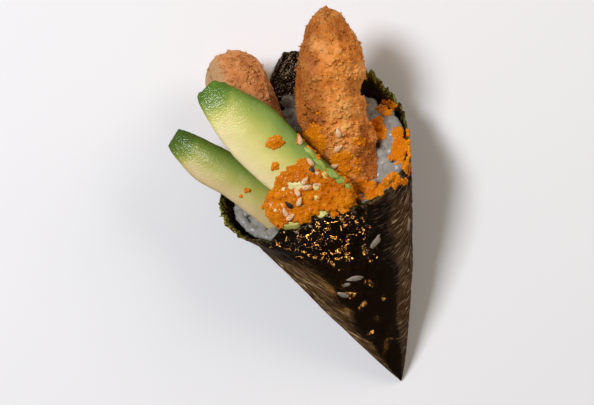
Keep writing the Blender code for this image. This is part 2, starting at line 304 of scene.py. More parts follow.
fibres = add_node(
    nori, "ShaderNodeTexNoise",
    [("Vector", fibre_place.outputs[0]), ("Scale", 1.0), ("Detail", 2.0), ("Roughness", 0.5), ("Distortion", 1.3)],
)
foil = add_node(
    nori, "ShaderNodeTexNoise",
    [("Vector", place.outputs["Object"]), ("Scale", 1 / 0.0009), ("Detail", 1.0), ("Distortion", 0.8)],
)
patches = add_node(
    nori, "ShaderNodeTexNoise", [("Vector", place.outputs["Object"]), ("Scale", 1 / 0.009), ("Detail", 4.0)]
)
damp_colour = add_node(
    nori, "ShaderNodeValToRGB", [("Fac", foil.outputs["Fac"])],
    stops=[(0.40, "#020100"), (0.60, "#040201"), (0.75, "#0c0603")],
)
# Fibre lines on the dry sides: the fibres' own colour, lightened partly as a painted sheen of the fibres seen at a
# glancing angle
dry_fibre_and_painted_sheen_colour = add_node(
    nori, "ShaderNodeValToRGB", [("Fac", fibres.outputs["Fac"])],
    stops=[(0.46, "#030201"), (0.54, "#0e0805"), (0.61, "#5a4f46"), (0.72, "#a89c90")],
)
sheet_colour = add_node(
    nori, "ShaderNodeMix",
    [("Factor", dry_and_sheen.outputs["Fac"]), (6, damp_colour.outputs[0]), (7, dry_fibre_and_painted_sheen_colour.outputs[0])],
    data_type="RGBA",
)
green_edge = add_node(
    nori, "ShaderNodeValToRGB", [("Fac", patches.outputs["Fac"])],
    stops=[(0.35, "#3a2a10"), (0.46, "#5c5a1c"), (0.57, "#8a8c34"), (0.72, "#6a4a1c")],
)
flecks = add_node(
    nori, "ShaderNodeMapRange",
    [("Value", foil.outputs["Fac"]), ("From Min", 0.42), ("From Max", 0.6), ("To Min", 0.1), ("To Max", 1.0)],
)
edge_share = add_node(
    nori, "ShaderNodeMath", [(0, torn.outputs["Fac"]), (1, flecks.outputs[0])], operation="MULTIPLY"
)
nori_colour = add_node(
    nori, "ShaderNodeMix",
    [("Factor", edge_share.outputs[0]), (6, sheet_colour.outputs[2]), (7, green_edge.outputs[0])],
    data_type="RGBA",
)
dry_gloss = add_node(
    nori, "ShaderNodeMapRange",
    [("Value", fibres.outputs["Fac"]), ("From Min", 0.3), ("From Max", 0.7), ("To Min", 0.85), ("To Max", 1.0)],
)
wet_gloss = add_node(
    nori, "ShaderNodeMapRange",
    [("Value", patches.outputs["Fac"]), ("From Min", 0.5), ("From Max", 0.65), ("To Min", 0.07), ("To Max", 0.14)],
)
sheet_gloss = add_node(
    nori, "ShaderNodeMix",
    [("Factor", dry_and_sheen.outputs["Fac"]), ("A", wet_gloss.outputs[0]), ("B", dry_gloss.outputs[0])],
)
fibre_height = add_node(
    nori, "ShaderNodeMath", [(0, fibres.outputs["Fac"]), (1, dry_and_sheen.outputs["Fac"])], operation="MULTIPLY"
)
fibre_bump = add_node(
    nori, "ShaderNodeBump", [("Height", fibre_height.outputs[0]), ("Strength", 1.0), ("Distance", 0.00022)]
)
foil_height = add_node(
    nori, "ShaderNodeMath", [(0, foil.outputs["Fac"]), (1, wet.outputs["Fac"])], operation="MULTIPLY"
)
foil_bump = add_node(
    nori, "ShaderNodeBump",
    [("Height", foil_height.outputs[0]), ("Strength", 1.0), ("Distance", 0.0003), ("Normal", fibre_bump.outputs[0])],
)
water = add_node(nori, "ShaderNodeMath", [(0, wet.outputs["Fac"]), (1, 0.12)], operation="MULTIPLY")
finish_shader(
    nori, Base_Color=nori_colour.outputs[2], Roughness=sheet_gloss.outputs["Result"], Normal=foil_bump.outputs[0],
    Coat_Weight=water.outputs[0], Coat_Normal=foil_bump.outputs[0],
)

points, faces, fields = roll_sheet()
wrap = new_piece("nori_sheet", points, faces, nori, "nori", ["nori_wrap"], **fields)

# --------------------------------------------------------------------------------------------------- the rice
# Short-grain rice, boiled and seasoned, pressed into the cone by hand. The grains are translucent, a little
# sticky, and run into each other, so a solid core carries loose grains over all that shows.

GRAIN_LENGTH = 6.2 * MM
GRAIN_WIDTH = 3.7 * MM
GRAIN_SPACING = 2.9 * MM
CORE_SINK = 1.3 * MM
WALL_ROOM = 1.4 * MM


def even_mesh(node, voxel):
    """Points, normals and faces of a fresh even mesh over a CAD node's shape."""
    lump = bpy.data.objects.new("lump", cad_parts[node].data.copy())
    bpy.context.scene.collection.objects.link(lump)
    lump.modifiers.new("weld", "WELD").merge_threshold = 1e-5
    even = lump.modifiers.new("even", "REMESH")
    even.mode = "VOXEL"
    even.voxel_size = voxel
    mesh = lump.evaluated_get(bpy.context.evaluated_depsgraph_get()).to_mesh()
    points = [v.co.copy() for v in mesh.vertices]
    normals = [v.normal.copy() for v in mesh.vertices]
    faces = [tuple(p.vertices) for p in mesh.polygons]
    bpy.data.objects.remove(lump)
    return points, normals, faces


def tree_of(points, faces):
    return BVHTree.FromPolygons(points, faces)


def smoothed(points, faces, rounds):
    """The points after each has moved halfway to the middle of its neighbours, that many times."""
    near = [set() for _ in points]
    for face in faces:
        for a, b in zip(face, face[1:] + face[:1]):
            near[a].add(b)
            near[b].add(a)
    for _ in range(rounds):
        points = [
            p.lerp(sum((points[k] for k in ring), Vector()) / len(ring), 0.5) if ring else p
            for p, ring in zip(points, near)
        ]
    return points


def ball(detail):
    """Points and faces of a round template of size 1."""
    shape = bmesh.new()
    bmesh.ops.create_icosphere(shape, subdivisions=detail, radius=0.5)
    points = [v.co.copy() for v in shape.verts]
    faces = [tuple(v.index for v in f.verts) for f in shape.faces]
    shape.free()
    return points, faces


def many(templates, seats, chance):
    """Joins one template at each seat, a matrix. Also gives each copy a tone from 0 to 1 on all its points."""
    points, faces, tones = [], [], []
    for seat in seats:
        shape, sides = templates[chance.randrange(len(templates))]
        start = len(points)
        points += [seat @ p for p in shape]
        faces += [tuple(start + k for k in side) for side in sides]
        tones += [chance.random()] * len(shape)
    return points, faces, tones


def seat_on(place, normal, turn, tilt, size):
    """A matrix that puts a template's Z along the normal, tilted, at that place and size."""
    stand = normal.to_track_quat("Z", "Y").to_matrix().to_4x4()
    spin = Matrix.Rotation(turn, 4, "Z") @ Matrix.Rotation(tilt, 4, "Y")
    return Matrix.Translation(place) @ stand @ spin @ Matrix.Diagonal((*size, 1))


def fused(points, faces, voxel):
    """Runs touching lumps together, as an even mesh."""
    mesh = bpy.data.meshes.new("lumps")
    mesh.from_pydata(points, [], faces)
    lumps = bpy.data.objects.new("lumps", mesh)
    bpy.context.scene.collection.objects.link(lumps)
    even = lumps.modifiers.new("even", "REMESH")
    even.mode = "VOXEL"
    even.voxel_size = voxel
    mesh = lumps.evaluated_get(bpy.context.evaluated_depsgraph_get()).to_mesh()
    points = [v.co.copy() for v in mesh.vertices]
    faces = [tuple(p.vertices) for p in mesh.polygons]
    bpy.data.objects.remove(lumps)
    return points, faces


def rice_grain(seed):
    """A cooked grain: a plump bean with blunt ends, slightly bent and dented."""
    points, faces = ball(3)
    grain = []
    for p in points:
        plump = 1 + 0.16 * (1 - (2 * p.x) ** 2)
        bend = 0.10 * (2 * p.x) ** 2
        dent = 1 + 0.09 * noise.noise(p * 3.1 + Vector((seed, 0, 0)))
        grain.append(Vector((p.x * 1.04, p.y * plump * dent + bend * math.cos(seed), p.z * plump * dent)))
    return grain, faces


def pressed_in(p):
    """The point, or the nearest one inside the wrap if it would come through its wall."""
    reach = p.y - TIP
    half_width, half_height, middle = cone_section(reach)
    across = p.x / (half_width - WALL_ROOM)
    up = (p.z - middle) / (half_height - WALL_ROOM)
    out = math.hypot(across, up)
    if out > 1 and reach < edge_reach(math.degrees(math.atan2(up, across))) - 0.5 * MM:
        p = Vector((p.x / out, p.y, middle + (p.z - middle) / out))
    return Vector((p.x, p.y, max(p.z, WALL_ROOM)))


# Cooked rice: translucent and wet, so light goes in and comes out softly. In the shade it looks grey, and its colour
# here is painted that darker grey, as painted shade.
cooked_rice = new_material(
    "cooked_rice", "#a9a69c", Roughness=0.3, IOR=1.42, Subsurface_Weight=0.6, Subsurface_Scale=0.0025
)
cooked_rice.node_tree.nodes["Principled BSDF"].inputs["Subsurface Radius"].default_value = (1.0, 0.85, 0.7)
place = add_node(cooked_rice, "ShaderNodeTexCoord")
tone = add_node(cooked_rice, "ShaderNodeAttribute", attribute_name="tone")
clouding = add_node(
    cooked_rice, "ShaderNodeTexNoise", [("Vector", place.outputs["Object"]), ("Scale", 1 / 0.002), ("Detail", 3.0)]
)
shade = add_node(
    cooked_rice, "ShaderNodeMix",
    [("Factor", 0.4), ("A", tone.outputs["Fac"]), ("B", clouding.outputs["Fac"])],
)
# Grey stops darker than white rice: painted shade
rice_colour = add_node(
    cooked_rice, "ShaderNodeValToRGB", [("Fac", shade.outputs["Result"])],
    stops=[(0.1, "#7f7d76"), (0.5, "#93918a"), (0.9, "#aaa79f")],
)
rice_bump = add_node(
    cooked_rice, "ShaderNodeBump", [("Height", clouding.outputs["Fac"]), ("Strength", 0.25), ("Distance", 0.0003)]
)
finish_shader(cooked_rice, Base_Color=rice_colour.outputs["Color"], Normal=rice_bump.outputs[0])

fillings = ["prawn_front", "prawn_back", "avocado_front", "avocado_left", "roe"]
filling_trees = []
for name in fillings + ["nori_wrap"]:
    points, normals, faces = even_mesh(name, 1.0 * MM if name != "nori_wrap" else 0.5 * MM)
    filling_trees.append(tree_of(points, faces))


def open_to_air(place, normal, clear=6 * MM):
    """True if nothing but rice lies close in front of that place."""
    for tree in filling_trees:
        if tree.ray_cast(place, normal, clear)[0] is not None:
            return False
    return True


chance = random.Random(11)
core_points, core_normals, core_faces = even_mesh("rice", 1.0 * MM)
relief = []
for p, n in zip(core_points, core_normals):
    lump = 0.9 * MM * (0.45 - noise.voronoi(p / (3.4 * MM))[0][0])
    relief.append(p - n * (CORE_SINK - lump))
core_tone = [0.35 + 0.3 * rough(p, 4 * MM) for p in relief]
new_piece("rice_core", relief, core_faces, cooked_rice, "rice", ["rice"], tone=core_tone)

seats, taken = [], []
order = list(range(len(core_faces)))
chance.shuffle(order)
for k in order:
    face = core_faces[k]
    place = sum((core_points[v] for v in face), Vector()) / len(face)
    normal = sum((core_normals[v] for v in face), Vector()).normalized()
    lowest = 58 * MM if place.x < 0 else 70 * MM
    if place.y < TIP + lowest or normal.y < 0.05 or not open_to_air(place + normal * 0.1 * MM, normal):
        continue
    if any((place - other).length < GRAIN_SPACING for other in taken):
        continue
    taken.append(place)
    grow = chance.uniform(0.85, 1.12)
    size = (GRAIN_LENGTH * grow, GRAIN_WIDTH * grow, GRAIN_WIDTH * 0.86 * grow)
    sunk = place - normal * chance.uniform(0.2, 0.9) * MM
    seats.append(seat_on(sunk, normal, chance.uniform(0, math.tau), chance.uniform(-0.3, 0.3), size))
# One grain lies by itself on the wrap, between the prawns
stray = filling_trees[-1].ray_cast(Vector((0.5 * MM, TIP + 108.6 * MM, 0.1)), Vector((0, 0, -1)))[0]
seats.append(seat_on(stray + Vector((0, 0, 1.2 * MM)), Vector((0, 0, 1)), 0.4, 0.1, (5.0 * MM, 3.9 * MM, 3.2 * MM)))
points, faces, tones = many([rice_grain(k) for k in range(5)], seats, chance)
points, faces = fused(points, faces, 0.4 * MM)
points = [pressed_in(p) for p in smoothed(points, faces, 1)]
tones = [0.5 + 0.5 * rough(p, 3.5 * MM, 4.0) for p in points]
grain_tree = tree_of(points, faces)
new_piece("rice_grains", points, faces, cooked_rice, "rice", tone=tones)
print("grains", len(seats), "faces", len(faces))

# ------------------------------------------------------------------------------------------------- the prawns
# Two prawns, butterflied, dipped in batter and rolled in dry white breadcrumbs, then deep fried. The crumbs
# are flaky splinters of bread that brown at their tips, over a crust that is lumpy where they clumped.

CRUMB_LENGTH = 1.8 * MM
# Middle of the front prawn near its end: x and height
FRONT_END = (21.5, 35.0)


def crust_height(p, crumbed):
    """The crust's lumps, clumps and ragged flakes above the prawn's plain shape."""
    lumps = 0.9 * MM * rough(p, 8 * MM, 1.0) + 0.4 * MM * rough(p, 3.8 * MM, 5.0)
    clumps = 0.36 * MM * (0.45 - noise.voronoi(p / (3.0 * MM))[0][0])
    flakes = 0.3 * MM * (0.6 - 2 * abs(rough(p, 2.4 * MM, 8.0)))
    grit = 0.1 * MM * rough(p, 1.3 * MM, 6.0)
    return lumps + (0.15 + 0.85 * crumbed) * (clumps + flakes + grit)


def flake(seed):
    """One breadcrumb: a thin torn splinter with sharp uneven corners."""
    points, faces = ball(1)
    cut = random.Random(seed)
    torn = [
        Vector((p.x * cut.uniform(0.5, 1.5), p.y * cut.uniform(0.4, 1.5), p.z * cut.uniform(0.5, 1.4))) for p in points
    ]
    return torn, faces


def fry(name, node, count, seed, materials, bare, shape, brown):
    """Makes one prawn's crust with its loose crumbs, and gives the crust's tree for what lies on it."""
    chance = random.Random(seed)
    crust_finish, crumb_finish = materials
    points, normals, faces = even_mesh(node, 0.5 * MM)
    points = smoothed(points, faces, 4)
    crumbed = [1 - bare(p) for p in points]
    heights = [crust_height(p, share) for p, share in zip(points, crumbed)]
    crust = [shape(p + n * h) for p, n, h in zip(points, normals, heights)]
    # Tone follows the crust's height: painted shade in its hollows and painted highlight on its raised lumps
    tones = [min(1.0, max(0.0, 0.5 + h / (2.8 * MM))) for h in heights]
    batter = [1 - share for share in crumbed]
    # Darkening field: browning where the prawn took more colour, and painted shade
    browned = [brown(p) for p in points]
    new_piece(name + "_crust", crust, faces, crust_finish, node, [node], tone=tones, batter=batter, brown=browned)
    seats, local = [], []
    for k in chance.choices(range(len(faces)), k=count):
        face = faces[k]
        if chance.random() > crumbed[face[0]]:
            continue
        normal = sum((normals[v] for v in face), Vector()).normalized()
        place = sum((crust[v] for v in face), Vector()) / len(face)
        long = CRUMB_LENGTH * chance.triangular(0.35, 1.5, 0.6)
        size = (long, long * chance.uniform(0.4, 0.8), long * chance.uniform(0.06, 0.14))
        steep = chance.random() < 0.2
        tilt = -math.radians(chance.uniform(40, 75) if steep else chance.triangular(0, 16, 4))
        seats.append(seat_on(place + normal * 0.02 * long, normal, chance.uniform(0, math.tau), tilt, size))
        local.append((tones[face[0]], browned[face[0]]))
    crumbs, sides, crumb_tones = many([flake(s) for s in range(12)], seats, chance)
    size = len(crumbs) // len(seats)
    # Each crumb takes the crust's tone where it sits, with its painted shade and highlight, plus a little tone at
    # random
    crumb_tones = [local[k // size][0] + 0.14 * tone for k, tone in enumerate(crumb_tones)]
    crumb_browned = [local[k // size][1] for k in range(len(crumbs))]
    new_piece(name + "_crumbs", crumbs, sides, crumb_finish, node, tone=crumb_tones, brown=crumb_browned)
    return tree_of(crust, faces)


def fried_crust(name, scatter, dark, middle, light, plain):
    """Deep-fried breadcrumb: matt and porous with an oily glint. Its tone is darker in its hollows and lighter on
    raised crumbs, painted shade and highlight.
    """
    material = new_material(
        name, middle, Roughness=0.6, Specular_IOR_Level=0.3, Subsurface_Weight=scatter, Subsurface_Scale=0.0011
    )
    material.node_tree.nodes["Principled BSDF"].inputs["Subsurface Radius"].default_value = (1.0, 0.8, 0.65)
    place = add_node(material, "ShaderNodeTexCoord")
    tone = add_node(material, "ShaderNodeAttribute", attribute_name="tone")
    batter = add_node(material, "ShaderNodeAttribute", attribute_name="batter")
    browning = add_node(
        material, "ShaderNodeTexNoise",
        [("Vector", place.outputs["Object"]), ("Scale", 1 / 0.0038), ("Detail", 3.0), ("Roughness", 0.6), ("Distortion", 0.4)],
    )
    grit = add_node(
        material, "ShaderNodeTexNoise",
        [("Vector", place.outputs["Object"]), ("Scale", 1 / 0.0007), ("Detail", 3.0), ("Distortion", 0.6)],
    )
    both = add_node(
        material, "ShaderNodeMix", [("Factor", 0.55), ("A", tone.outputs["Fac"]), ("B", browning.outputs["Fac"])]
    )
    mixed = add_node(
        material, "ShaderNodeMix", [("Factor", 0.22), ("A", both.outputs["Result"]), ("B", grit.outputs["Fac"])]
    )
    crumb_colour = add_node(
        material, "ShaderNodeValToRGB", [("Fac", mixed.outputs["Result"])],
        stops=[(0.3, dark), (0.5, middle), (0.66, light)],
    )
    brown = add_node(material, "ShaderNodeAttribute", attribute_name="brown")
    # Darkens by the field: browning at the front prawn's end, painted shade on its left side and foot and low on the
    # back prawn's right side
    deeper = add_node(
        material, "ShaderNodeMix",
        [("Factor", brown.outputs["Fac"]), (6, crumb_colour.outputs["Color"]), (7, linear("#c8b69c"))],
        data_type="RGBA", blend_type="MULTIPLY",
    )
    colour = add_node(
        material, "ShaderNodeMix",
        [("Factor", batter.outputs["Fac"]), (6, deeper.outputs[2]), (7, linear(plain))],
        data_type="RGBA",
    )
    bump = add_node(material, "ShaderNodeBump", [("Height", grit.outputs["Fac"]), ("Strength", 0.4), ("Distance", 0.0004)])
    finish_shader(material, Base_Color=colour.outputs[2], Normal=bump.outputs[0])
    return material


def bare_nowhere(p):
    return 0.0


def pointed_end(p):
    """The front prawn narrows to its end and is nipped in on its right, above a clump of crumbs."""
    reach = (p.y - TIP) / MM
    middle = Vector((FRONT_END[0] * MM, p.y, FRONT_END[1] * MM))
    p = p.lerp(middle, 0.34 * eased((reach - 112) / 24))
    p = p.lerp(middle + Vector((4.0, 0, 0)) * MM, 0.34 * eased((reach - 122) / 12))
    blunt = eased((reach - 124) / 6)
    shoulder = 1.8 * eased((p.x / MM - 24) / 5) - 2.2 * eased((22 - p.x / MM) / 5)
    p += Vector((blunt * shoulder, -1.0 * eased((reach - 130) / 3) * eased((24 - p.x / MM) / 6), 0)) * MM
    foot = eased((82 - reach) / 12) * eased((p.x / MM - 7) / 8)
    nip = bump_between(reach, 100.5, 102.5, 3) * eased((p.x / MM - 20) / 6)
    clump = bump_between(reach, 84, 89, 4) * eased((p.x / MM - 12) / 8)
    return p + Vector((1.3 * clump - 1.9 * nip + 2.8 * foot, 0, 0.8 * clump)) * MM


def unshaped(p):
    return p


def bare_left_end(p):
    """The back prawn's batter is thin and smooth on the left of its end."""
    return 0.9 * eased((-p.x / MM - 14.5 + 1.5 * rough(p, 5 * MM)) / 5) * eased((p.y - TIP - 104 * MM) / (10 * MM))


def browner_end(p):
    """The front prawn took more colour at its end; along its left side and at its foot the darkening is painted shade.
    """
    reach = (p.y - TIP) / MM
    end = 0.75 * eased((reach - 114) / 12)
    # Painted shade along the left side
    side = eased((11.0 + 0.27 * (reach - 90) - p.x / MM) / 9)
    # Painted shade at the foot, low between the rice
    foot = eased((86 - reach) / 8) * eased((p.x / MM - 10) / 4)
    return min(1.0, max(end, 1.3 * side, 1.2 * foot) * (1 + 0.5 * rough(p, 5 * MM, 2.0)))


def browner_shade(p):
    """Painted shade: the back prawn is darkened low on its right side."""
    return 0.15 * eased((p.x / MM + 10) / 8) * eased((118 - (p.y - TIP) / MM) / 10)


# A thin loose crumb lets light through instead of spreading it, so it scatters far less than the crust below
CRUST_SCATTER, CRUMB_SCATTER = 0.7, 0.05
GOLDEN = ("#b05c14", "#ea9136", "#fab464", "#c98b50")
LIGHT_BROWN = ("#9d5726", "#d28848", "#e2a470", "#bd976a")
golden = (
    fried_crust("golden_fried_crust", CRUST_SCATTER, *GOLDEN),
    fried_crust("golden_breadcrumb", CRUMB_SCATTER, *GOLDEN),
)
light_brown = (
    fried_crust("light_fried_crust", CRUST_SCATTER, *LIGHT_BROWN),
    fried_crust("light_breadcrumb", CRUMB_SCATTER, *LIGHT_BROWN),
)
prawn_trees = [
    fry("prawn_front", "prawn_front", 4400, 21, golden, bare_nowhere, pointed_end, browner_end),
    fry("prawn_back", "prawn_back", 2800, 22, light_brown, bare_left_end, unshaped, browner_shade),
]

# --------------------------------------------------------------------------------------------- the avocado
# Two slices of ripe avocado, cut lengthwise and peeled. The flesh runs from pale yellow at the pit side to deep
# green just under the skin, and is moist where it was cut.

# Reach where the green of each slice's end begins, and where it is full
END_GREEN = {"avocado_front": (102, 121), "avocado_left": (94, 111)}
PIT_LINES = {
    "avocado_front": ((-4.0, 57.5), (-10.5, 70.5), (-19.5, 86.0), (-25.8, 102.0), (-29.0, 120.5)),
    "avocado_left": ((-16.0, 58.0), (-23.8, 70.5), (-32.0, 84.5), (-40.0, 95.5), (-44.7, 108.5)),
}
SKIN_LINES = {
    "avocado_front": ((10.0, 60.0), (7.0, 76.0), (0.5, 92.0), (-6.0, 107.8), (-19.5, 124.0)),
    "avocado_left": ((-2.0, 62.0), (-9.0, 77.0), (-19.0, 91.5), (-28.8, 103.5), (-37.8, 113.5)),
}


def along(line, t):
    """Point at share t of a smooth curve through the line's points."""
    spans = len(line) - 1
    i = min(int(t * spans), spans - 1)
    u = t * spans - i
    p0, p1, p2, p3 = (line[max(0, min(spans, i + k))] for k in (-1, 0, 1, 2))
    return 0.5 * (
        2 * p1 + (p2 - p0) * u + (2 * p0 - 5 * p1 + 4 * p2 - p3) * u**2 + (3 * p1 - p0 - 3 * p2 + p3) * u**3
    )


def fine_line(points):
    line = [Vector((x * MM, TIP + y * MM)) for x, y in points]
    return [along(line, k / 60) for k in range(61)]


def slice_avocado(node, material, slot):
    """A slice with gentle knife waves. Its skin field is 0 at the pit side and 1 under the skin."""
    pit, skin = fine_line(PIT_LINES[node]), fine_line(SKIN_LINES[node])
    points, normals, faces = even_mesh(node, 0.55 * MM)
    points = smoothed(points, faces, 3)
    starts, full = END_GREEN[node]
    flesh, share, end = [], [], []
    for p, n in zip(points, normals):
        plan = p.to_2d()
        to_pit = min((plan - q).length for q in pit)
        to_skin = min((plan - q).length for q in skin)
        reach = (p.y - TIP) / MM + 1.2 * rough(p, 4 * MM, 5.0)
        wave = 0.2 * MM * rough(p, 6 * MM, 3.0) + 0.03 * MM * rough(p, 1.6 * MM, 4.0)
        ragged = 0.55 * MM * rough(p, 1.5 * MM, 6.0) * eased((reach - full + 4) / 4)
        flesh.append(p + n * wave + Vector((0, ragged, 0)))
        share.append(to_pit / (to_pit + to_skin))
        end.append(eased((reach - starts) / (full - starts)))
    new_piece(node + "_slice", flesh, faces, material, slot, [node], skin=share, end=end)
    return tree_of(flesh, faces)


def avocado_flesh(name, stops):
    """Ripe avocado flesh: waxy, faintly translucent, and shiny with its own oil."""
    material = new_material(
        name, stops[0][1], Roughness=0.38, Subsurface_Weight=0.18, Subsurface_Scale=0.002,
    )
    place = add_node(material, "ShaderNodeTexCoord")
    skin = add_node(material, "ShaderNodeAttribute", attribute_name="skin")
    end = add_node(material, "ShaderNodeAttribute", attribute_name="end")
    mottle = add_node(
        material, "ShaderNodeTexNoise", [("Vector", place.outputs["Object"]), ("Scale", 1 / 0.005), ("Detail", 5.0)]
    )
    pores = add_node(
        material, "ShaderNodeTexNoise", [("Vector", place.outputs["Object"]), ("Scale", 1 / 0.0006), ("Detail", 1.0)]
    )
    wetter = add_node(
        material, "ShaderNodeMapRange", [("Value", end.outputs["Fac"]), ("To Min", 0.46), ("To Max", 0.16)]
    )
    pitted = add_node(
        material, "ShaderNodeMapRange", [("Value", end.outputs["Fac"]), ("To Min", 0.35), ("To Max", 1.3)]
    )
    pore_height = add_node(
        material, "ShaderNodeMath", [(0, pores.outputs["Fac"]), (1, pitted.outputs[0])], operation="MULTIPLY"
    )
    greener = add_node(
        material, "ShaderNodeMath", [(0, skin.outputs["Fac"]), (1, end.outputs["Fac"])], operation="MAXIMUM"
    )
    stirred = add_node(
        material, "ShaderNodeMath", [(0, mottle.outputs["Fac"]), (1, 0.16), (2, greener.outputs[0])],
        operation="MULTIPLY_ADD",
    )
    shifted = add_node(material, "ShaderNodeMath", [(0, stirred.outputs[0]), (1, 0.08)], operation="SUBTRACT")
    colour = add_node(material, "ShaderNodeValToRGB", [("Fac", shifted.outputs[0])], stops=stops)
    bump = add_node(material, "ShaderNodeBump", [("Height", pore_height.outputs[0]), ("Strength", 1.0), ("Distance", 0.0003)])
    finish_shader(material, Base_Color=colour.outputs["Color"], Roughness=wetter.outputs[0], Normal=bump.outputs[0])
    return material


ripe = avocado_flesh(
    "ripe_avocado_flesh",
    [(0.05, "#ead9a0"), (0.35, "#e3d984"), (0.52, "#cdc866"), (0.68, "#abb550"), (0.84, "#7d9738"), (1.0, "#577a25")],
)
riper = avocado_flesh(
    "yellower_avocado_flesh",
    [(0.05, "#d2b985"), (0.3, "#c6ba6e"), (0.5, "#a6a842"), (0.68, "#829234"), (0.85, "#647c2a"), (1.0, "#4b6620")],
)
slice_trees = [
    slice_avocado("avocado_front", ripe, "avocado_front"),
    slice_avocado("avocado_left", riper, "avocado_left"),
]

# -------------------------------------------------------------------------------------------------- the roe
# Flying-fish roe, salted and dyed orange: beads a little over a millimetre across, each a taut wet skin over
# clear oil. They cling together in one drift at the mouth, and in small clumps where they rolled.

EGG = 1.42 * MM
EGG_SPACING = 0.96 * MM
EGG_SINK = -0.16
# An egg that would land lower than this has missed the roll
LOWEST_REST = 8 * MM

# Clumps away from the drift: x, reach from the tip, half length, half width, and turn in degrees
CLUMPS = (
    (-8.0, 83.2, 8.2, 3.0, -14),
    (4.2, 90.8, 3.4, 5.6, 12),
    (0.8, 94.2, 3.4, 1.8, -30),
    (9.6, 81.6, 4.2, 2.7, 0),
    (9.6, 77.2, 3.2, 1.6, -30),
    (18.0, 85.0, 1.8, 2.0, 0),
    (14.6, 79.0, 1.3, 1.1, 0),
    (13.0, 76.0, 1.1, 1.0, 0),
    (8.2, 99.4, 1.0, 0.9, 0),
    (-9.4, 95.6, 2.6, 1.8, 0),
    (-6.4, 94.4, 0.9, 0.8, 0),
    (-12.1, 88.1, 1.4, 1.2, 0),
    (-24.1, 83.9, 1.0, 0.8, 0),
    (-27.3, 83.0, 0.6, 0.5, 0),
    (-21.6, 77.2, 0.9, 1.1, 0),
    (-15.6, 79.4, 2.0, 1.8, 0),
    (32.0, 92.6, 3.0, 2.6, 0),
    (26.4, 87.0, 2.4, 4.0, 10),
    (31.8, 79.6, 3.4, 5.0, 15),
    (30.2, 75.6, 4.4, 3.4, 0),
    (30.0, 70.4, 1.9, 2.4, 0),
    (23.6, 67.8, 3.0, 2.6, 30),
    (27.2, 66.2, 1.2, 1.2, 0),
    (19.4, 67.6, 3.0, 1.6, 10),
    (13.6, 69.6, 4.4, 2.4, 10),
    (8.2, 68.6, 3.2, 2.0, 0),
    (3.2, 67.4, 4.0, 2.0, 10),
    (6.6, 66.8, 4.2, 1.6, 10),
    (16.4, 67.0, 4.6, 2.0, -8),
)

# Avocado that shows through: x, reach, half length, half width, turn and how near the skin
SCRAPS = (
    (-8.2, 79.2, 3.2, 1.7, -12, 0.2), (-12.6, 79.2, 1.8, 0.9, 10, 0.1), (-4.8, 77.6, 1.4, 1.2, 0, 0.25), (-2.1, 75.8, 1.3, 0.8, -20, 0.35),
    (1.9, 78.2, 0.8, 2.3, 22, 0.5), (-3.2, 72.6, 0.8, 1.1, 20, 0.35), (-8.8, 72.2, 0.8, 1.2, 20, 0.3),
    (-3.2, 66.4, 1.8, 1.6, 0, 0.5), (-14.6, 67.0, 3.2, 1.3, -14, 0.45), (-17.8, 74.0, 0.7, 0.6, 0, 0.2),
    (0.9, 87.4, 0.9, 2.4, 25, 0.72), (2.4, 82.8, 1.0, 2.6, 22, 0.76), (4.6, 78.4, 1.2, 2.5, 32, 0.8),
    (6.9, 75.0, 1.3, 2.0, 38, 0.8), (8.2, 72.2, 1.0, 1.7, 15, 0.76),
)

roe_points, roe_normals, roe_faces = even_mesh("roe", 0.5 * MM)
roe_core = []
for p, n in zip(roe_points, roe_normals):
    bead = 0.5 - noise.voronoi(p / EGG_SPACING)[0][0]
    drift = rough(p, 6 * MM, 3.0)
    roe_core.append(p - n * (0.4 - 0.7 * drift - 0.5 * bead) * MM)

# A wet egg: clear orange that light fills from inside, so that beads hardly shade each other.
wet_egg = new_material(
    "salted_fish_roe", "#e07a06", Roughness=0.2, IOR=1.36, Specular_IOR_Level=0.24, Subsurface_Weight=0.45, Subsurface_Scale=0.0009
)
wet_egg.node_tree.nodes["Principled BSDF"].inputs["Subsurface Radius"].default_value = (1.0, 0.85, 0.6)
tone = add_node(wet_egg, "ShaderNodeAttribute", attribute_name="tone")
place = add_node(wet_egg, "ShaderNodeTexCoord")
ripeness = add_node(
    wet_egg, "ShaderNodeTexNoise", [("Vector", place.outputs["Object"]), ("Scale", 1 / 0.006), ("Detail", 2.0)]
)
shade = add_node(
    wet_egg, "ShaderNodeMix", [("Factor", 0.6), ("A", tone.outputs["Fac"]), ("B", ripeness.outputs["Fac"])]
)
egg_colour = add_node(
    wet_egg, "ShaderNodeValToRGB", [("Fac", shade.outputs["Result"])],
    stops=[(0.15, "#ac5602"), (0.42, "#d27204"), (0.75, "#f0920e")],
)
finish_shader(wet_egg, Base_Color=egg_colour.outputs["Color"])
new_piece("roe_core", roe_core, roe_faces, wet_egg, "roe", ["roe"], tone=[0.55] * len(roe_core))

all_trees = prawn_trees + slice_trees + [grain_tree, tree_of(roe_core, roe_faces), tree_of(relief, core_faces)]
wrap_mesh = wrap.data
wrap_tree = tree_of([v.co for v in wrap_mesh.vertices], [tuple(p.vertices) for p in wrap_mesh.polygons])
all_trees.append(wrap_tree)


def drop(x, y):
    """Where something let go above that place comes to lie: the point and the slope there."""
    best = (Vector((x, y, 0)), Vector((0, 0, 1)))
    for tree in all_trees:
        point, normal, _, _ = tree.ray_cast(Vector((x, y, 0.1)), Vector((0, 0, -1)))
        if point is not None and point.z > best[0].z:
            best = (point, normal)
    return best


def crumpled(seed):
    """A small lump with an uneven outline."""
    points, faces = ball(3)
    return [p * (1 + 0.5 * rough(p, 0.4, seed)) * (1 + 0.22 * rough(p, 0.16, seed)) for p in points], faces


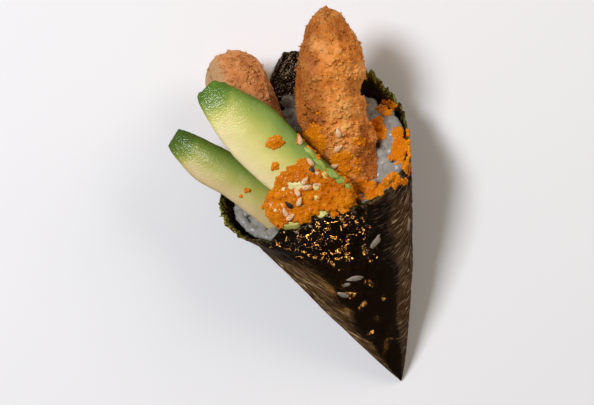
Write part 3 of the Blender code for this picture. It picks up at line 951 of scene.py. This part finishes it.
# Bits of avocado that show between the eggs. The last number is 0 for pale flesh and 1 for green skin side.
points, faces, shares = [], [], []
for k, (x, y, long, wide, turn, share) in enumerate(SCRAPS):
    point, slope = drop(x * MM, TIP + y * MM)
    stand = Vector((0, 0, 1)).rotation_difference(slope).to_matrix().to_4x4()
    spin = Matrix.Rotation(math.radians(turn), 4, "Z")
    seat = Matrix.Translation(point) @ stand @ spin @ Matrix.Diagonal((2.4 * long * MM, 2.4 * wide * MM, 1.7 * MM, 1))
    lump, sides = crumpled(3.0 + k)
    faces += [tuple(len(points) + v for v in side) for side in sides]
    points += [seat @ p for p in lump]
    shares += [share] * len(lump)
new_piece("avocado_scraps", points, faces, ripe, "avocado_front", skin=shares, end=[0.0] * len(points))
all_trees.append(tree_of(points, faces))

chance = random.Random(31)
seats, deep = [], []


def on_scrap(x, y):
    for x0, y0, long, wide, turn, share in SCRAPS:
        off = Matrix.Rotation(-math.radians(turn), 2) @ Vector((x / MM - x0, (y - TIP) / MM - y0))
        if (off.x / long) ** 2 + (off.y / wide) ** 2 < 1.0 + 0.6 * rough((x, y, 0), 1.6 * MM, 8.0):
            return True
    return False


def strew(x, y, lift, tone):
    if on_scrap(x, y):
        return
    point, slope = drop(x, y)
    on_wall = wrap_tree.ray_cast(Vector((x, y, 0.1)), Vector((0, 0, -1)))[0]
    if point.z < LOWEST_REST or (x < -1 * MM and on_wall and on_wall.z > point.z - 0.1 * MM):
        return
    deep.append(tone)
    turned = Matrix.Rotation(chance.uniform(0, math.tau), 4, "Z")
    size = EGG * chance.uniform(0.9, 1.08)
    seats.append(Matrix.Translation(point + slope * EGG_SINK * EGG + Vector((0, 0, lift))) @ turned @ Matrix.Scale(size, 4))


row_step = EGG_SPACING * math.sqrt(3) / 2
low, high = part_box("roe")
roe_tree = tree_of(roe_core, roe_faces)
for row in range(int((high.y - low.y) / row_step) + 1):
    for column in range(int((high.x - low.x) / EGG_SPACING) + 1):
        x = low.x + (column + 0.5 * (row % 2) + chance.uniform(-0.22, 0.22)) * EGG_SPACING
        y = low.y + (row + chance.uniform(-0.22, 0.22)) * row_step
        if roe_tree.ray_cast(Vector((x, y, 0.1)), Vector((0, 0, -1)))[0] is None:
            continue
        if rough((x, y, 0), 4.5 * MM, 12.0) < -0.55:
            continue
        strew(x, y, chance.choice((0, 0, 0, 0.3, 0.6)) * MM, 0.0)
for x0, y0, half_length, half_width, turn in CLUMPS:
    spin = Matrix.Rotation(math.radians(turn), 2)
    reach = max(half_length, half_width) * MM
    for row in range(-int(reach / row_step) - 1, int(reach / row_step) + 2):
        for column in range(-int(reach / EGG_SPACING) - 1, int(reach / EGG_SPACING) + 2):
            x = (column + 0.5 * (row % 2) + chance.uniform(-0.2, 0.2)) * EGG_SPACING
            y = (row + chance.uniform(-0.2, 0.2)) * row_step
            flat = spin @ Vector((x, y))
            out = math.hypot(flat.x / (half_length * MM), flat.y / (half_width * MM))
            if out < 1 + 0.45 * rough((x0 + x / MM, y0 + y / MM, 0), 2.2, 14.0):
                strew(x0 * MM + x, TIP + y0 * MM + y, 0.0 if out > 0.6 else chance.choice((0, 0, 0.5)) * MM, 0.4)
# Eggs down the drift's sides
order = list(range(len(roe_faces)))
chance.shuffle(order)
beside = []
for k in order:
    face = roe_faces[k]
    place = sum((roe_core[v] for v in face), Vector()) / len(face)
    normal = sum((roe_normals[v] for v in face), Vector()).normalized()
    if not -0.3 < normal.z < 0.6 or any((place - other).length < 1.1 * EGG_SPACING for other in beside):
        continue
    beside.append(place)
    deep.append(0.0)
    turned = Matrix.Rotation(chance.uniform(0, math.tau), 4, "Z")
    seats.append(Matrix.Translation(place + normal * EGG_SINK * EGG) @ turned @ Matrix.Scale(EGG, 4))
points, faces, tones = many([ball(2)], seats, chance)
egg_size = len(points) // len(seats)
tones = [0.6 * tone + deep[k // egg_size] for k, tone in enumerate(tones)]
new_piece("roe_eggs", points, faces, wet_egg, "roe", tone=tones)
# The brine that clings between the eggs and fills half the depth of the gaps
film, film_faces = fused(points, faces, 0.4 * MM)
film = smoothed(film, film_faces, 5)
new_piece("roe_brine", film, film_faces, wet_egg, "roe", tone=[0.5 + 0.3 * rough(p, 5 * MM, 9.0) for p in film])
print("film faces", len(film_faces))
print("eggs", len(seats), "faces", len(faces))

# ---------------------------------------------------------------------------------------------- sesame seeds
# Toasted sesame, white and black: flat drops 3 to 3.5 mm long, pointed at one end, matt with a faint oil sheen.

SEED = (3.5 * MM, 2.0 * MM, 0.95 * MM)

# x, reach from the tip and turn in degrees
WHITE_SEEDS = (
    (12.2, 90.6, 80), (10.3, 85.5, 15), (6.4, 80.4, 0), (-1.1, 93.2, 75), (-0.8, 84.9, 110), (0.0, 80.3, 60),
    (-4.8, 79.4, 30), (-5.0, 77.2, -5), (-1.5, 76.7, -15), (-8.7, 76.8, 105), (-9.2, 73.6, 45), (-15.3, 72.2, 90),
    (-14.2, 69.8, 15),
)
BLACK_SEEDS = ((-1.3, 82.0, 62), (-12.9, 74.2, 112))


def sesame_seed():
    """A seed: flat, widest near one end and drawn to a point at the other."""
    points, faces = ball(3)
    seed = []
    for p in points:
        taper = 1 - 0.52 * eased((p.x + 0.35) / 0.9)
        seed.append(Vector((p.x, p.y * taper * 1.05, p.z * taper)))
    return seed, faces


def toasted_seed(name, dark, light):
    """Toasted seed coat: matt, with fine ridges along it."""
    material = new_material(name, light, Roughness=0.42, Subsurface_Weight=0.1, Subsurface_Scale=0.001)
    place = add_node(material, "ShaderNodeTexCoord")
    ridges = add_node(
        material, "ShaderNodeTexNoise", [("Vector", place.outputs["Object"]), ("Scale", 1 / 0.0009), ("Detail", 3.0)]
    )
    colour = add_node(
        material, "ShaderNodeValToRGB", [("Fac", ridges.outputs["Fac"])], stops=[(0.3, dark), (0.65, light)]
    )
    bump = add_node(material, "ShaderNodeBump", [("Height", ridges.outputs["Fac"]), ("Strength", 0.3), ("Distance", 0.0002)])
    finish_shader(material, Base_Color=colour.outputs["Color"], Normal=bump.outputs[0])
    return material


egg_tree = tree_of(points, faces)
all_trees.append(egg_tree)
for name, places, dark, light in (
    ("white_sesame", WHITE_SEEDS, "#c9945f", "#ecc79a"),
    ("black_sesame", BLACK_SEEDS, "#0f0b09", "#2b2420"),
):
    seats = []
    for x, y, turn in places:
        point, slope = drop(x * MM, TIP + y * MM)
        slope = (slope + Vector((0, 0, 1.6))).normalized()
        stand = Vector((0, 0, 1)).rotation_difference(slope).to_matrix().to_4x4()
        spin = Matrix.Rotation(math.radians(turn), 4, "Z")
        seats.append(Matrix.Translation(point + slope * 0.55 * MM) @ stand @ spin @ Matrix.Diagonal((*SEED, 1)))
    points, faces, tones = many([sesame_seed()], seats, chance)
    new_piece(name, points, faces, toasted_seed(name + "_coat", dark, light), "rice")

# ---------------------------------------------------------------------------------------- rice on the outside
# Smears of cooked rice that fingers left on the wrap: single grains squashed flat and stuck down.

# x, reach from the tip, length, width in mm and turn in degrees
SMEARS = (
    (23.0, 51.8, 3.6, 2.6, 70), (9.4, 50.6, 4.6, 2.2, 30), (-1.5, 41.5, 3.8, 1.8, -10), (-4.9, 40.6, 1.7, 1.5, 0),
    (-6.9, 37.1, 4.6, 1.9, -60),
)
# Rice that has dried to a thin smear: duller and greyer than the wet grains.
drying_rice = new_material("drying_rice", "#9b8f80", Roughness=0.5, Subsurface_Weight=0.2, Subsurface_Scale=0.001)
place = add_node(drying_rice, "ShaderNodeTexCoord")
blotches = add_node(
    drying_rice, "ShaderNodeTexNoise", [("Vector", place.outputs["Object"]), ("Scale", 1 / 0.0015), ("Detail", 3.0)]
)
smear_colour = add_node(
    drying_rice, "ShaderNodeValToRGB", [("Fac", blotches.outputs["Fac"])],
    stops=[(0.35, "#6f6a60"), (0.5, "#948a7c"), (0.65, "#b39a80")],
)
finish_shader(drying_rice, Base_Color=smear_colour.outputs["Color"])
seats = []
for x, y, long, wide, turn in SMEARS:
    point, slope = drop(x * MM, TIP + y * MM)
    stand = Vector((0, 0, 1)).rotation_difference(slope).to_matrix().to_4x4()
    spin = Matrix.Rotation(math.radians(turn), 4, "Z")
    seats.append(Matrix.Translation(point) @ stand @ spin @ Matrix.Diagonal((1.3 * long * MM, 1.1 * wide * MM, 0.5 * MM, 1)))
points, faces, tones = many([crumpled(2.0), crumpled(5.0), crumpled(9.0)], seats, chance)
new_piece("rice_smears", points, faces, drying_rice, "rice")

# ------------------------------------------------------------------------------------ floor, lights and camera
floor_mesh = bpy.data.meshes.new("floor")
floor_mesh.from_pydata([(-3, -3, 0), (3, -3, 0), (3, 3, 0), (-3, 3, 0)], [], [(0, 1, 2, 3)])
floor = bpy.data.objects.new("floor", floor_mesh)
floor.location.z = -0.0002
# The table is kept out of the reflections, so that the damp nori stays dark between its glints
floor.visible_glossy = False
floor_mesh.materials.append(new_material("white_table", "#f4f4f4", Roughness=0.7, Specular_IOR_Level=0.2))
bpy.context.scene.collection.objects.link(floor)

world = bpy.data.worlds.new("studio")
world.use_nodes = True
world.node_tree.nodes["Background"].inputs["Color"].default_value = linear("#f6f0e8")
world.node_tree.nodes["Background"].inputs["Strength"].default_value = 0.14
bpy.context.scene.world = world
bpy.context.scene.view_settings.view_transform = "Standard"


def softbox(name, place, width, height, power, colour, aim=(0, 0, 0.02)):
    lamp = bpy.data.lights.new(name, "AREA")
    lamp.shape = "RECTANGLE"
    lamp.size = width
    lamp.size_y = height
    lamp.energy = power
    lamp.color = linear(colour)[:3]
    light = bpy.data.objects.new(name, lamp)
    light.location = place
    light.rotation_euler = (Vector(place) - Vector(aim)).to_track_quat("Z", "Y").to_euler()
    bpy.context.scene.collection.objects.link(light)
    return light


softbox("window", (-0.56, 0.56, 1.27), 0.4, 0.4, 18.5, "#f6f8ff")
softbox("fill", (0.9, 0.3, 0.8), 0.6, 0.6, 4.5, "#fff0de")
# Warm lamps placed for the glints on the damp nori. They are flagged off everything else.
lit_by_glints = bpy.data.collections.new("lit_by_glints")
lit_by_glints.objects.link(wrap)
overhead = softbox("overhead", (-0.05, 0.42, 1.20), 0.14, 0.10, 3.6, "#fff2e2")
overhead.light_linking.receiver_collection = lit_by_glints
for place, power in (
    ((-0.08, -0.84, 0.74), 0.030),
    ((-0.32, -0.84, 0.66), 0.044),
    ((-0.62, -0.84, 0.52), 0.021),
):
    glint = softbox("glint_lamp", place, 0.12, 0.12, power, "#ffd88a", (-4 * MM, -13 * MM, 30 * MM))
    glint.data.spread = math.radians(5)
    glint.light_linking.receiver_collection = lit_by_glints

VIEW_TURN = math.radians(22.4)
VIEW_CENTRE = Vector((-10.1 * MM, TIP + 73.65 * MM, 25 * MM))
VIEW_WIDTH = 207.9 * MM
VIEW_DISTANCE = 1.0
camera = bpy.data.objects.new("camera", bpy.data.cameras.new("camera"))
camera.data.lens = camera.data.sensor_width * VIEW_DISTANCE / VIEW_WIDTH
camera.location = VIEW_CENTRE + Vector((0, 0, VIEW_DISTANCE))
camera.rotation_euler = (0, 0, -VIEW_TURN)
bpy.context.scene.collection.objects.link(camera)
bpy.context.scene.camera = camera
